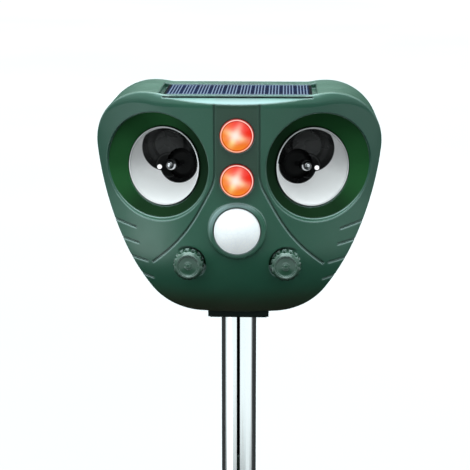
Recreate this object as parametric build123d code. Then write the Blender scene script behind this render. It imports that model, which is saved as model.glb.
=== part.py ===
from build123d import *
import math
import os

# Solar ultrasonic pest repeller on a ground stake.
# Row frame: origin on the pole axis at ground level, +Z up, the face looks along -Y.
# Head parts are drawn in the head's own frame: X across, Y back from the frontmost line of
# the face, Z up from the underside of the head. place() moves them into the row frame.

# ---------------------------------------------------------------- driving dimensions (mm)
HEAD_Z = 200.0          # underside of the head above the ground line
POLE_DEPTH = 40.0       # pole axis behind the frontmost line of the face
DEPTH = 80.0            # head, front to back
SPLIT = 63.0            # joint between the front housing and the rear cover
WALL = 2.2

# outline of the head: flat bottom, then tangent arcs up the side and over the ear
BOTTOM_HALF = 21.9
CORNER_R, CORNER_TURN = 33.5, 53.7
SIDE_R, SIDE_TURN = 162.4, 30.3
EAR_R, EAR_TURN = 30.3, 96.0
HUMP_R, DIP_R = 40.0, 20.0
EAR_TOP = 126.2
SEAT_DROP = 1.2         # the seat between the ears lies this much below their tops

# face: a surface of revolution about an upright axis behind the head
FACE_R = 112.0
FACE_LEAN = 5.0         # degrees, upper face
CHIN_R = 70.0           # lower face curves back
CHIN_Z = 40.0
SOFT_R, SOFT_GROW = 9.0, 3.5    # soft roll of the face towards its outline
CRISP_R = 0.95          # edge between the face and the side walls
BACK_R = 9.0

# sloping ledge, slit and seat of the solar panel
LEDGE_HALF, LEDGE_Y, LEDGE_Z, LEDGE_SLOPE = 42.0, 8.6, 124.0, 0.34
SLIT_HALF, SLIT_H, SLIT_DEEP = 40.5, 0.6, 3.0
SEAT_X, SEAT_FRONT, SEAT_BACK, SEAT_DEEP = 43.0, 13.0, 60.0, 2.6
CELL_X, CELL_FRONT, CELL_BACK = 40.4, 13.4, 59.4

# eyes, each about its own axis that is turned outwards and tilted up
EYE_X, EYE_Y, EYE_Z = 43.9, 18.4, 84.3
EYE_TURN, EYE_TILT = 22.5, 5.0
RIM_X, RIM_Z, RIM_WIDE, RIM_TALL = 44.3, 85.2, 28.8, 30.2    # rim seen from the front
RIM_ROUND = 0.6
CUP_R, CUP_DEEP = 22.2, 7.2
CONE_R, CONE_DEEP = 36.0, 1.3       # the recess widens from the cup to here, then stops at the rim
BOSS_R, BOSS_DEEP = 34.0, 5.2
THROAT_R, THROAT_DEEP = 8.6, 28.0
DRIVER_R, DRIVER_LONG = 17.0, 11.0
PLUG_R = 3.1

GROOVE_W, GROOVE_DEEP = 0.9, 0.9

# lamps, motion sensor and knobs
LED_Z = (79.5, 104.4)
LED_R, LED_RISE = 9.2, 2.2
PIR_Z, PIR_R, PIR_RISE, COLLAR_R = 51.2, 12.45, 7.5, 16.0
PIR_SKIRT = 3.0         # straight part of the dome in front of the face
KNOB_X, KNOB_Z, KNOB_R, KNOB_RISE, KNOB_LOBES = 26.8, 31.5, 8.4, 9.0, 15
SHAFT_R = 3.0
BOARD_Y, BOARD_T = 24.0, 1.6
LEAD_BEND = 1.8

# pole and spike
POLE_R, POLE_WALL, SEAM = 10.0, 0.8, 1.9
RUN = 0.05              # radial running clearance
SOCKET_TOP = 28.0
FLANGE_X, FLANGE_Y, FLANGE_H = 17.2, 12.0, 4.2
JOINER_Z, JOINER_H = 90.0, 3.0
SPIKE_DEEP, SPIKE_R, PLATE_R = 95.0, 11.5, 22.0
HUB_H = 8.0

# rear cover
DOOR_HALF, DOOR_LOW, DOOR_HIGH, DOOR_T = 30.5, 12.0, 65.0, 2.0
GAP = 0.3
CELL_AA_R, CELL_AA_L = 7.1, 50.0
CELL_AA_Z = (23.0, 38.5, 54.0)
CELL_AA_Y = 68.2
USB_X, SWITCH_X, PORT_Z = -50.0, 50.0, 76.0
KEYHOLE_Z, KEYHOLE_R, KEYHOLE_SLOT = 104.0, 4.0, 2.0
SCREW_PLACES = ((68.0, 106.0), (40.0, 18.0))
SOCKET_SCREWS = [(x, y) for x in (-13.5, 13.5) for y in (-9.0, 9.0)]
BOARD_POSTS = ((0.0, 21.5), (0.0, 91.95))

EYES = {"left": -1, "right": 1}
KNOBS = {"sensitivity": -1, "frequency": 1}


# ---------------------------------------------------------------- helpers
def box(x0, x1, y0, y1, z0, z1):
    """Box between two corners."""
    return Pos((x0 + x1) / 2, (y0 + y1) / 2, (z0 + z1) / 2) * Box(x1 - x0, y1 - y0, z1 - z0)


def depth_plane(y):
    """Plane across the head at depth y; its sketch x, y are the head's X, Z."""
    return Plane(origin=(0, y, 0), x_dir=(1, 0, 0), z_dir=(0, -1, 0))


def prism(sketch, y0, y1):
    """Sketch of the front view, from depth y0 back to depth y1."""
    return extrude(depth_plane(y1) * sketch, amount=y1 - y0)


def disc(x, z, r, y0, y1):
    """Round bar along Y."""
    return prism(Pos(x, z) * Circle(r), y0, y1)


def turned(points):
    """Solid of revolution about Z from a closed outline of (radius, height) points."""
    return revolve(Plane.XZ * make_face(Polyline(*points, close=True)), Axis.Z, 360)


def facing(x, y, z, part):
    """Part drawn along +Z, laid with +Z towards the front at a point of the head."""
    return depth_plane(0).location * Pos(x, z, -y) * part


def eye_frame(side):
    """Eye frame: origin on the rim's plane, +Z out along the eye's axis."""
    turn, tilt = math.radians(EYE_TURN), math.radians(EYE_TILT)
    out = (side * math.sin(turn) * math.cos(tilt), -math.cos(turn) * math.cos(tilt), math.sin(tilt))
    return Plane(origin=(side * EYE_X, EYE_Y, EYE_Z),
                 x_dir=(math.cos(turn), side * math.sin(turn), 0), z_dir=out).location


def face_y(x, z):
    """Depth of the face at a point above the chin."""
    lean = (EAR_TOP - z) * math.tan(math.radians(FACE_LEAN))
    if z < CHIN_Z:
        sine = (CHIN_Z - z) / CHIN_R + math.sin(math.radians(FACE_LEAN))
        lean = (EAR_TOP - CHIN_Z) * math.tan(math.radians(FACE_LEAN))
        lean += CHIN_R * (math.cos(math.radians(FACE_LEAN)) - math.sqrt(1 - sine ** 2))
    return FACE_R - math.sqrt((FACE_R - lean) ** 2 - x ** 2)


def outline(inset=0.0):
    """Front outline of the head, moved inwards by inset."""
    dip_turn = math.degrees(math.acos(1 - SEAT_DROP / (HUMP_R + DIP_R)))
    arcs = ((CORNER_R - inset, CORNER_TURN), (SIDE_R - inset, SIDE_TURN),
            (EAR_R - inset, EAR_TURN), (HUMP_R - inset, dip_turn), (DIP_R + inset, -dip_turn))
    edges = [Line((0, inset), (BOTTOM_HALF, inset))]
    for radius, turn in arcs:
        edges.append(JernArc(edges[-1] @ 1, edges[-1] % 1, radius, turn))
    last = edges[-1] @ 1
    edges.append(Line(last, (0, last.Y)))
    half = Curve() + edges
    return make_face(half + mirror(half, Plane.YZ))


def face_body(shift=0.0):
    """Everything behind the face, with the face moved back by shift."""
    slope = math.tan(math.radians(FACE_LEAN))
    roof = EAR_TOP + 14
    top = (shift + (EAR_TOP - roof) * slope, roof)
    upper = Line(top, (shift + (EAR_TOP - CHIN_Z) * slope, CHIN_Z))
    chin = JernArc(upper @ 1, upper % 1, CHIN_R, 42)
    low = (chin @ 1).Y
    rest = Polyline(chin @ 1, (FACE_R, low), (FACE_R, roof), top)
    half = Plane.YZ * make_face(Curve() + [upper, chin, rest])
    return revolve(half, Axis((0, FACE_R, 0), (0, 0, 1)), 360)


def face_edges(solid, back):
    """Edges that run round the face, in front of depth back."""
    found = []
    for edge in solid.edges():
        span = edge.bounding_box()
        seam = abs(span.max.Z - span.min.Z) < 0.01 and abs(span.max.Z - CHIN_Z) < 0.01
        along = edge.geom_type == GeomType.LINE and span.max.Y - span.min.Y > 5
        if span.max.Y < back and not seam and not along:
            found.append(edge)
    return found


# ---------------------------------------------------------------- head shells
def head_outside():
    """Outer form of the whole head: soft roll, crisp edge, round back."""
    grown = prism(outline(-SOFT_GROW), -10, DEPTH) & face_body()
    soft = fillet(face_edges(grown, DEPTH - 5), SOFT_R)
    body = soft & prism(outline(), -10, DEPTH)
    back = [e for e in body.edges() if e.bounding_box().min.Y > DEPTH - 0.1]
    body = fillet(back, BACK_R)
    return fillet(face_edges(body, DEPTH - 15), CRISP_R)


def head_inside():
    """Hollow of the head, with the same soft roll inside the walls."""
    grown = prism(outline(WALL - SOFT_GROW), -10, DEPTH - WALL) & face_body(WALL + 0.2)
    soft = fillet(face_edges(grown, DEPTH - 8), SOFT_R - 1)
    hollow = soft & prism(outline(WALL), -10, DEPTH - WALL)
    back = [e for e in hollow.edges() if e.bounding_box().min.Y > DEPTH - WALL - 0.1]
    return fillet(back, BACK_R - 1)


def eye_boss(side):
    """Thick ring inside the face that holds a horn."""
    ring = turned(((0, -CUP_DEEP - 2.5), (CUP_R + 3.0, -CUP_DEEP - 2.5), (BOSS_R, -BOSS_DEEP),
                   (BOSS_R, 20), (0, 20)))
    return eye_frame(side) * ring


def rim_edges(body, side):
    """Edges where a recess meets the face, all on the rim's ellipse and at the face's depth."""
    found = []
    for edge in body.edges():
        points = [edge @ t for t in (0, 0.3, 0.7, 1)]
        off = [math.hypot((side * p.X - RIM_X) / RIM_WIDE, (p.Z - RIM_Z) / RIM_TALL) - 1 for p in points]
        if max(abs(v) for v in off) < 0.002 and all(abs(p.Y - face_y(p.X, p.Z)) < 0.3 for p in points):
            found.append(edge)
    return found


def eye_recess(side):
    """Recess in front of a horn: a cone that ends at the rim, with the horn's hole in its floor."""
    cone = turned(((0, -20), (CUP_R, -20), (CUP_R, -CUP_DEEP), (CONE_R, -CONE_DEEP), (CONE_R, 40), (0, 40)))
    return (eye_frame(side) * cone) & prism(Pos(side * RIM_X, RIM_Z) * Ellipse(RIM_WIDE, RIM_TALL), -25, 60)


def groove(curve, width, deep):
    """Groove of one depth in the face along a curve of the front view."""
    return (prism(trace(curve, width), -6, 60) - face_body(deep)).solids()


def face_grooves():
    """Two long grooves that frame the lamps and part below them, and the whiskers."""
    cuts = []
    whiskers = (((72.5, 52.6), (56.8, 49.1)), ((68.0, 42.1), (55.4, 40.1)),
                ((62.5, 32.0), (50.4, 29.9)), ((55.5, 22.0), (47.4, 19.8)))
    bend = Spline((12.2, 84.0), (16.9, 69.2), (24.4, 55.6), (34.2, 42.5), (47.6, 29.8),
                  tangents=((0, -1), (1, -0.88)))
    long_groove = Line((12.2, 121.0), (12.2, 84.0)) + bend
    for path in [long_groove] + [Line(*ends) for ends in whiskers]:
        for cut in groove(path, GROOVE_W, GROOVE_DEEP):
            cuts += [cut, mirror(cut, Plane.YZ)]
    return cuts


def ledge_cuts():
    """Sloping ledge at the top of the face, the slit behind it and the panel's seat."""
    seat_top = EAR_TOP - SEAT_DROP
    reach = LEDGE_Y + 12
    wedge = make_face(Polyline((LEDGE_Y, LEDGE_Z), (LEDGE_Y - reach, LEDGE_Z - reach * LEDGE_SLOPE),
                               (LEDGE_Y - reach, EAR_TOP + 5), (LEDGE_Y, EAR_TOP + 5), close=True))
    ledge = extrude(Plane(origin=(-LEDGE_HALF, 0, 0), x_dir=(0, 1, 0), z_dir=(1, 0, 0)) * wedge,
                    amount=2 * LEDGE_HALF)
    slit = box(-SLIT_HALF, SLIT_HALF, LEDGE_Y - 1, LEDGE_Y + SLIT_DEEP,
               LEDGE_Z - 0.3, LEDGE_Z + SLIT_H - 0.3)
    seat = box(-SEAT_X, SEAT_X, SEAT_FRONT, SEAT_BACK, seat_top - SEAT_DEEP, EAR_TOP + 5)
    return [ledge, slit, seat]


def front_holes():
    """Holes for lamps, motion sensor, shafts, pole socket and the panel's leads."""
    cuts = [disc(0, z, LED_R + 0.1, -8, 12) for z in LED_Z]
    cuts.append(disc(0, PIR_Z, PIR_R + 0.25, -8, 20))
    for side in KNOBS.values():
        cuts.append(disc(side * KNOB_X, KNOB_Z, SHAFT_R + 1.2, 0, 20))
        well = face_y(KNOB_X, KNOB_Z) + 0.7
        cuts.append(disc(side * KNOB_X, KNOB_Z, KNOB_R + 1.0, 0, well))
    cuts.append(Pos(0, POLE_DEPTH, 0) * Cylinder(13.1, 12))
    cuts += [Pos(x, 24, EAR_TOP) * Cylinder(0.9, 20) for x in (-4, 4)]
    cuts += [Pos(x, POLE_DEPTH + y, 3) * Cylinder(1.25, 12) for x, y in SOCKET_SCREWS]
    return cuts


def screw_posts():
    """Posts inside the front housing for the board, the rear cover and the pole socket."""
    posts = [disc(x, z, 2.0, -10, BOARD_Y) for x, z in BOARD_POSTS]
    posts += [disc(s * x, z, 3.8, -10, SPLIT) for x, z in SCREW_PLACES for s in (-1, 1)]
    return posts + [Pos(x, POLE_DEPTH + y, 4.2) * Cylinder(2.8, 8) for x, y in SOCKET_SCREWS]


def front_housing(outside, inside):
    """Green front housing with the eye recesses, grooves and the panel's seat."""
    seat_floor = EAR_TOP - SEAT_DROP - SEAT_DEEP
    tray = box(-SEAT_X - 2, SEAT_X + 2, -10, SEAT_BACK + 2, seat_floor - 2.2, EAR_TOP)
    hollow = inside & box(-90, 90, -20, SPLIT + 1, -10, 140)
    for solid in [tray] + screw_posts() + [eye_boss(s) for s in EYES.values()]:
        hollow = hollow - solid
    body = (outside & box(-90, 90, -20, SPLIT, -10, 140)) - hollow
    for side in EYES.values():
        body = body - eye_recess(side)
    for side in EYES.values():
        body = fillet(rim_edges(body, side), RIM_ROUND)
    collar = prism(Pos(0, PIR_Z) * Circle(COLLAR_R), face_y(0, PIR_Z) - 1.6, face_y(0, PIR_Z) + 2.4)
    body = body + fillet(collar.edges().sort_by(Axis.Y)[0], 1.5)
    pilots = [disc(x, z, 0.9, BOARD_Y - 8, BOARD_Y) for x, z in BOARD_POSTS]
    pilots += [disc(s * x, z, 1.4, SPLIT - 16, SPLIT) for x, z in SCREW_PLACES for s in (-1, 1)]
    for cut in ledge_cuts() + front_holes() + pilots + face_grooves():
        body = body - cut
    return body


def switch_window():
    """Window in the rear cover for the power slider."""
    return box(SWITCH_X - 5.2, SWITCH_X + 5.2, 70, DEPTH + 1, PORT_Z - 2.2, PORT_Z + 2.2)


def rear_cover(outside, inside):
    """Green rear cover with the battery bay, ports and the hanging hole."""
    shell = outside & box(-90, 90, SPLIT, DEPTH + 5, -10, 140)
    hollow = inside & box(-90, 90, SPLIT - 1, DEPTH, -10, 140)
    bay = box(-DOOR_HALF, DOOR_HALF, 58.6, DEPTH - 1, DOOR_LOW, DOOR_HIGH)
    wells = [disc(s * x, z, 5.2, SPLIT, DEPTH - 1) for x, z in SCREW_PLACES for s in (-1, 1)]
    tongue = inside & prism(outline(WALL + 0.15), SPLIT - 3, SPLIT + 1)
    tongue = tongue + prism(outline(WALL - 0.6), SPLIT, SPLIT + 4)
    tongue = tongue - prism(outline(WALL + 1.6), SPLIT - 4, SPLIT + 5)
    for x, z in SCREW_PLACES:
        for s in (-1, 1):
            tongue = tongue - disc(s * x, z, 6.0, SPLIT - 4, SPLIT)
    seat_low = EAR_TOP - SEAT_DROP - SEAT_DEEP - 3
    tongue = tongue - box(-SEAT_X - 3, SEAT_X + 3, SPLIT - 4, SPLIT, seat_low, 130)
    body = (shell - hollow) + [part & outside for part in [bay] + wells] + tongue
    cuts = [box(-DOOR_HALF + 1.5, DOOR_HALF - 1.5, 60.2, DEPTH + 1, DOOR_LOW + 1.5, DOOR_HIGH - 1.5)]
    opening = RectangleRounded(2 * DOOR_HALF + 2 * GAP + 2, DOOR_HIGH - DOOR_LOW + 2 * GAP + 2, 4)
    cuts.append(prism(Pos(0, (DOOR_LOW + DOOR_HIGH) / 2) * opening, DEPTH - DOOR_T - GAP, DEPTH + 1))
    for x, z in SCREW_PLACES:
        for s in (-1, 1):
            cuts += [disc(s * x, z, 3.4, SPLIT + 4, DEPTH + 1), disc(s * x, z, 1.6, SPLIT - 1, SPLIT + 5)]
    cuts.append(disc(0, KEYHOLE_Z, KEYHOLE_R, DEPTH - 5, DEPTH + 1))
    cuts.append(box(-KEYHOLE_SLOT, KEYHOLE_SLOT, DEPTH - 5, DEPTH + 1, KEYHOLE_Z, KEYHOLE_Z + 9))
    cuts.append(switch_window())
    cuts.append(box(USB_X - 9.3, USB_X + 9.3, DEPTH - 1.4, DEPTH + 1, PORT_Z - 6.3, PORT_Z + 6.3))
    cuts.append(box(USB_X - 6.5, USB_X + 6.5, DEPTH - 4, DEPTH + 1, PORT_Z - 3.6, PORT_Z + 3.6))
    recess = box(-DOOR_HALF - 1 - GAP, DOOR_HALF + 1 + GAP, DEPTH - DOOR_T - GAP - 1.4, DEPTH - 0.5,
                 DOOR_LOW - 1 - GAP, DOOR_HIGH + 1 + GAP)
    frame = box(-DOOR_HALF - 3, DOOR_HALF + 3, DEPTH - DOOR_T - GAP - 1.6, DEPTH - 1,
                DOOR_LOW - 3, DOOR_HIGH + 3)
    body = body + ((frame & outside) - recess.moved(Location((0, 1.4, 0))))
    rib_y = CELL_AA_Y - CELL_AA_R - 0.7
    ribs = [box(-24, 24, 60, rib_y + 3, z - 0.5, z + 0.5) for z in (30.75, 46.25)]
    return (body - cuts) + ribs


# ---------------------------------------------------------------- sound horns
def horn(side):
    """Flared horn with a bright rim; its flange seats behind the eye ring."""
    depth, wall = -CUP_DEEP, 1.2
    low = depth - THROAT_DEEP + 4
    inner, outer = THROAT_R, THROAT_R + wall
    bowl = ThreePointArc((CUP_R - 1.1, depth), (CUP_R - 5.4, depth - 11.5), (inner, low + 3.4))
    shell = ThreePointArc((outer, low + 2.4), (CUP_R - 4.0, depth - 12.4), (CUP_R - 0.1, depth - 2.7))
    throat = Polyline((inner, low + 3.4), (inner, low), (outer + 4, low), (outer + 4, low + 1.4),
                      (outer, low + 2.4))
    lip = Polyline((CUP_R - 0.1, depth - 2.7), (CUP_R - 0.1, depth + 0.6), (CUP_R - 1.1, depth + 0.6),
                   (CUP_R - 1.1, depth))
    body = revolve(Plane.XZ * make_face(Curve() + [bowl, throat, shell, lip]), Axis.Z, 360)
    flange = turned(((CUP_R - 1.6, depth - 2.6), (CUP_R + 2.8, depth - 2.6), (CUP_R + 2.8, depth - 4.0),
                     (CUP_R - 1.6, depth - 4.0)))
    mouth = turned(((0, depth), (CUP_R - 1.1, depth), (CUP_R - 3.4, depth - 7), (0, depth - 7)))
    return eye_frame(side) * (body + (flange - mouth))


def driver(side):
    """Piezo driver: black can with a domed diaphragm at the throat."""
    front = -CUP_DEEP - THROAT_DEEP + 3.9
    can = Pos(0, 0, front - DRIVER_LONG / 2) * Cylinder(DRIVER_R, DRIVER_LONG)
    can = fillet(can.edges(), 1.2)
    dome = turned(((0, front - 1), (THROAT_R - 0.2, front - 1), (THROAT_R - 0.2, front + 0.6),
                   (THROAT_R - 2.5, front + 1.6), (0, front + 2.0)))
    stub = Pos(0, 0, front - DRIVER_LONG - 1.0) * Cylinder(5, 2.2)
    return eye_frame(side) * (can + dome + stub)


def phase_plug(side):
    """Small bullet on a stem in front of the diaphragm."""
    base = -CUP_DEEP - THROAT_DEEP + 6.0
    stem = Pos(0, 0, base + 5) * Cylinder(1.6, 10)
    barrel = Pos(0, 0, base + 11) * Cylinder(PLUG_R, 4)
    nose = Pos(0, 0, base + 13) * Sphere(PLUG_R)
    return eye_frame(side) * (stem + barrel + nose)


def horn_seal(side):
    """Rubber ring between the horn's flange and the eye ring."""
    top = -CUP_DEEP - 2.5
    inner, outer = CUP_R + 0.2, CUP_R + 2.8
    ring = turned(((inner, top), (outer, top), (outer, top - 0.1), (inner, top - 0.1)))
    return eye_frame(side) * ring


# ---------------------------------------------------------------- lamps and sensor
def led_lens(z):
    """Round lens with a raised rim and a flange behind the face."""
    front = face_y(0, z)
    top = LED_RISE
    body = turned(((0, top + 0.8), (4.5, top + 0.4), (LED_R - 1.4, top - 0.7), (LED_R - 1.1, top),
                   (LED_R - 0.3, top), (LED_R, top - 0.4), (LED_R, -3.4), (LED_R + 1.0, -3.4),
                   (LED_R + 1.0, -4.6), (LED_R - 1.2, -4.6), (LED_R - 1.2, -2.4), (0, -1.4)))
    return facing(0, front, z, body)


def led_reflector(z):
    """Reflector cup behind a lens."""
    front = face_y(0, z)
    tail = BOARD_Y - front - 4.0
    cup = turned(((LED_R - 1.6, -4.7), (LED_R + 1.0, -4.7), (LED_R + 1.0, -5.9), (LED_R - 0.4, -6.2),
                  (4.2, -tail), (2.7, -tail), (2.7, -tail + 1.5), (LED_R - 2.0, -5.6)))
    return facing(0, front, z, cup)


def strobe_leds():
    """Two lamps standing on the board."""
    bulbs = []
    for z in LED_Z:
        bulb = Pos(0, 0, 4) * Cylinder(2.5, 8) + Pos(0, 0, 8) * Sphere(2.5)
        bulb = bulb + Pos(0, 0, 0.5) * Cylinder(2.9, 1)
        bulbs.append(facing(0, BOARD_Y, z, bulb))
    return bulbs


def pir_lens():
    """White dome lens, an even shell with a flange."""
    sphere = (PIR_R ** 2 + PIR_RISE ** 2) / (2 * PIR_RISE)
    skin = 1.0
    base = face_y(0, PIR_Z) - PIR_SKIRT
    foot = -PIR_SKIRT - 5.6
    ball = Pos(0, 0, PIR_RISE - sphere)
    cap = (ball * Sphere(sphere) - ball * Sphere(sphere - skin)) & Pos(0, 0, 10) * Cylinder(20, 20)
    skirt = turned(((PIR_R - 1.1, 0.1), (PIR_R, 0.1), (PIR_R, foot + 1), (PIR_R + 1.6, foot + 1),
                    (PIR_R + 1.6, foot), (PIR_R - 1.1, foot)))
    return facing(0, base, PIR_Z, cap + skirt)


def pir_retainer():
    """Ring that clamps the dome's flange from behind."""
    base = face_y(0, PIR_Z) + 5.7
    ring = turned(((PIR_R - 1.2, 0), (PIR_R + 2.6, 0), (PIR_R + 2.6, -1.8), (PIR_R - 1.2, -1.8)))
    return facing(0, base, PIR_Z, ring)


def pir_sensor():
    """Metal can of the motion sensor on the board."""
    can = Pos(0, 0, 0.4) * Cylinder(4.6, 0.8) + Pos(0, 0, 2.1) * Cylinder(4.1, 4.2)
    window = Pos(0, 0, 4.2) * Box(4, 3, 0.3)
    return facing(0, BOARD_Y, PIR_Z, can - window)


# ---------------------------------------------------------------- knobs
def knob(side):
    """Fluted knob with a raised face rim, a dished face and a pip in its middle."""
    base = face_y(KNOB_X, KNOB_Z) + 0.3
    top = KNOB_RISE
    body = turned(((0, 0), (KNOB_R, 0), (KNOB_R, top - 2.2), (KNOB_R - 0.5, top - 1.2),
                   (KNOB_R - 1.5, top - 0.4),
                   (KNOB_R - 1.9, top), (KNOB_R - 2.6, top), (KNOB_R - 3.0, top - 0.5), (2.2, top - 0.7),
                   (1.4, top - 0.2), (0, top - 0.1)))
    flute = Cylinder(1.25, top)
    ring = KNOB_R + 0.55
    for i in range(KNOB_LOBES):
        body -= Rot(0, 0, i * 360 / KNOB_LOBES) * Pos(ring, 0, top / 2 + 1.4) * flute
    body -= Pos(0, 0, 2.0) * Cylinder(SHAFT_R, 4.2)
    return facing(side * KNOB_X, base, KNOB_Z, body)


def shaft(side):
    """Potentiometer shaft, from inside its body up into the knob."""
    base = face_y(KNOB_X, KNOB_Z) + 0.3
    length = BOARD_Y - 3.0 - (base - 4.0)
    rod = Pos(0, 0, length / 2) * Cylinder(SHAFT_R, length)
    return facing(side * KNOB_X, BOARD_Y - 3.0, KNOB_Z, rod)


def potentiometer(side):
    """Potentiometer body on the board."""
    body = Pos(0, 0, 2.7) * Cylinder(7.5, 5.4) + Pos(0, 0, 1.5) * Box(12, 15, 3)
    body -= Pos(0, 0, 4.4) * Cylinder(SHAFT_R + RUN, 3.2)
    return facing(side * KNOB_X, BOARD_Y, KNOB_Z, body)


def knob_seal(side):
    """O-ring that keeps rain out round the shaft."""
    ring = turned(((SHAFT_R + RUN, 0), (SHAFT_R + 1.15, 0), (SHAFT_R + 1.15, -1.4), (SHAFT_R + RUN, -1.4)))
    return facing(side * KNOB_X, face_y(KNOB_X, KNOB_Z) + 0.9, KNOB_Z, ring)


# ---------------------------------------------------------------- boards and wiring
def main_board():
    """Circuit board: broad foot behind the knobs, narrow stem up between the eyes."""
    foot = box(-35, 35, BOARD_Y, BOARD_Y + BOARD_T, 17, 45)
    stem = box(-11.5, 11.5, BOARD_Y, BOARD_Y + BOARD_T, 40, 114)
    holes = [disc(x, z, 1.1, BOARD_Y - 1, BOARD_Y + 3) for x, z in BOARD_POSTS]
    return (foot + stem) - holes


def board_parts():
    """Chips, coil and capacitors on the back of the board."""
    y = BOARD_Y + BOARD_T
    chips = [box(-5, 5, y, y + 1.6, 62, 74), box(-28, -20, y, y + 1.5, 34, 41)]
    cans = [disc(x, z, 3.2, y, y + 9) for x, z in ((-25, 24), (25, 24), (25, 37))]
    coil = disc(-14, 38, 4.5, y, y + 5)
    return chips + cans + [coil]


def board_screws():
    """Two screws that hold the board."""
    y = BOARD_Y + BOARD_T
    return [disc(x, z, 2.1, y, y + 1.4) + disc(x, z, 0.85, y - 8, y + 0.1) for x, z in BOARD_POSTS]


def lead(*points):
    """Thin insulated wire with rounded turns."""
    path = FilletPolyline(*points, radius=LEAD_BEND)
    return sweep(Plane(origin=path @ 0, z_dir=path % 0) * Circle(0.6), path)


def wiring():
    """Leads from the panel, the drivers and the battery bay to the board."""
    back = BOARD_Y + BOARD_T
    leads = []
    reach = CUP_DEEP + THROAT_DEEP - 3.9 + DRIVER_LONG + 2.2
    for s in (-1, 1):
        tip = (eye_frame(s) * Pos(0, 0, -reach)).position
        out = (eye_frame(s) * Pos(0, 0, -reach - 5)).position
        leads.append(lead(tip, out, (s * 5, 62, 70), (s * 5, 40, 57), (s * 5, back, 57)))
        leads.append(lead((s * 4, 24, 120.0), (s * 4, 24, 116.0), (s * 4, 33, 108), (s * 4, back, 108)))
        leads.append(lead((s * 9, 58.5, 50), (s * 9, 50, 50), (s * 9, 38, 48), (s * 9, back, 48)))
    return leads


# ---------------------------------------------------------------- solar panel
def panel_layer(low, thick, margin=0.0):
    """One layer of the solar panel above the seat's floor."""
    floor = EAR_TOP - SEAT_DROP - SEAT_DEEP + low
    return box(-CELL_X + margin, CELL_X - margin, CELL_FRONT + margin, CELL_BACK - margin,
               floor, floor + thick)


# ---------------------------------------------------------------- pole and spike
def tube(z0, z1):
    """Rolled tube with an open butt seam that faces the front."""
    ring = Pos(0, 0, (z0 + z1) / 2) * (Cylinder(POLE_R, z1 - z0) - Cylinder(POLE_R - POLE_WALL, z1 - z0))
    return ring - box(-SEAM / 2, SEAM / 2, -POLE_R - 1, 0, z0 - 1, z1 + 1)


def tube_joiner():
    """Plastic joiner: a collar between the tubes and a spigot into each."""
    spigot = POLE_R - POLE_WALL - 0.05
    low, high, collar = JOINER_Z, JOINER_Z + JOINER_H, POLE_R + 0.6
    body = turned(((0, low - 18), (spigot - 1, low - 18), (spigot, low - 17), (spigot, low),
                   (collar, low), (collar, high), (spigot, high),
                   (spigot, high + 17), (spigot - 1, high + 18), (0, high + 18)))
    return body - Pos(0, 0, JOINER_Z) * Cylinder(spigot - 2.5, 60)


def ground_spike():
    """Four-bladed spike with a stop plate and a spigot into the lower tube."""
    spigot = POLE_R - POLE_WALL - 0.05
    blade = make_face(Polyline((-SPIKE_R, 0), (-SPIKE_R, -22), (-1.0, -SPIKE_DEEP), (1.0, -SPIKE_DEEP),
                               (SPIKE_R, -22), (SPIKE_R, 0), close=True))
    wing = Pos(0, 1.2, 0) * extrude(Plane.XZ * blade, amount=2.4)
    cross = wing + Rot(0, 0, 90) * wing
    plate = turned(((0, -0.1), (PLATE_R, -0.1), (PLATE_R, 1.6), (PLATE_R - 2, 3), (POLE_R + 2.5, 3.4),
                    (POLE_R + 1, HUB_H), (0, HUB_H)))
    plug = turned(((0, HUB_H - 1), (spigot, HUB_H - 1), (spigot, HUB_H + 20),
                   (spigot - 1.5, HUB_H + 22), (0, HUB_H + 22)))
    return Rot(0, 0, 45) * cross + plate + plug


def pole_socket():
    """Black socket: a square-edged flange under the head and a blind bore for the pole."""
    bore = POLE_R + RUN
    low = -FLANGE_H
    flange = box(-FLANGE_X, FLANGE_X, POLE_DEPTH - FLANGE_Y, POLE_DEPTH + FLANGE_Y, low, 0)
    for s in (-1, 1):
        flange -= Pos(s * FLANGE_X, POLE_DEPTH - FLANGE_Y, low) * Box(2.4, 2.4, 2.0)
    tower = Pos(0, POLE_DEPTH, SOCKET_TOP / 2 + 1) * Cylinder(12.95, SOCKET_TOP + 2)
    hole = Pos(0, POLE_DEPTH, (SOCKET_TOP + low - 1) / 2) * Cylinder(bore, SOCKET_TOP - low + 1)
    body = flange + tower - hole
    for x, y in SOCKET_SCREWS:
        body -= Pos(x, POLE_DEPTH + y, low + 0.9) * Cylinder(2.0, 1.8)
        body -= Pos(x, POLE_DEPTH + y, -1) * Cylinder(1.25, 9)
    return body


def socket_screws():
    """Four screws that hold the socket to the head."""
    screws = []
    for x, y in SOCKET_SCREWS:
        head = Pos(x, POLE_DEPTH + y, -FLANGE_H + 1.0) * Cylinder(1.95, 1.6)
        screws.append(head + Pos(x, POLE_DEPTH + y, 1.2) * Cylinder(1.2, 8.4))
    return screws


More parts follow.
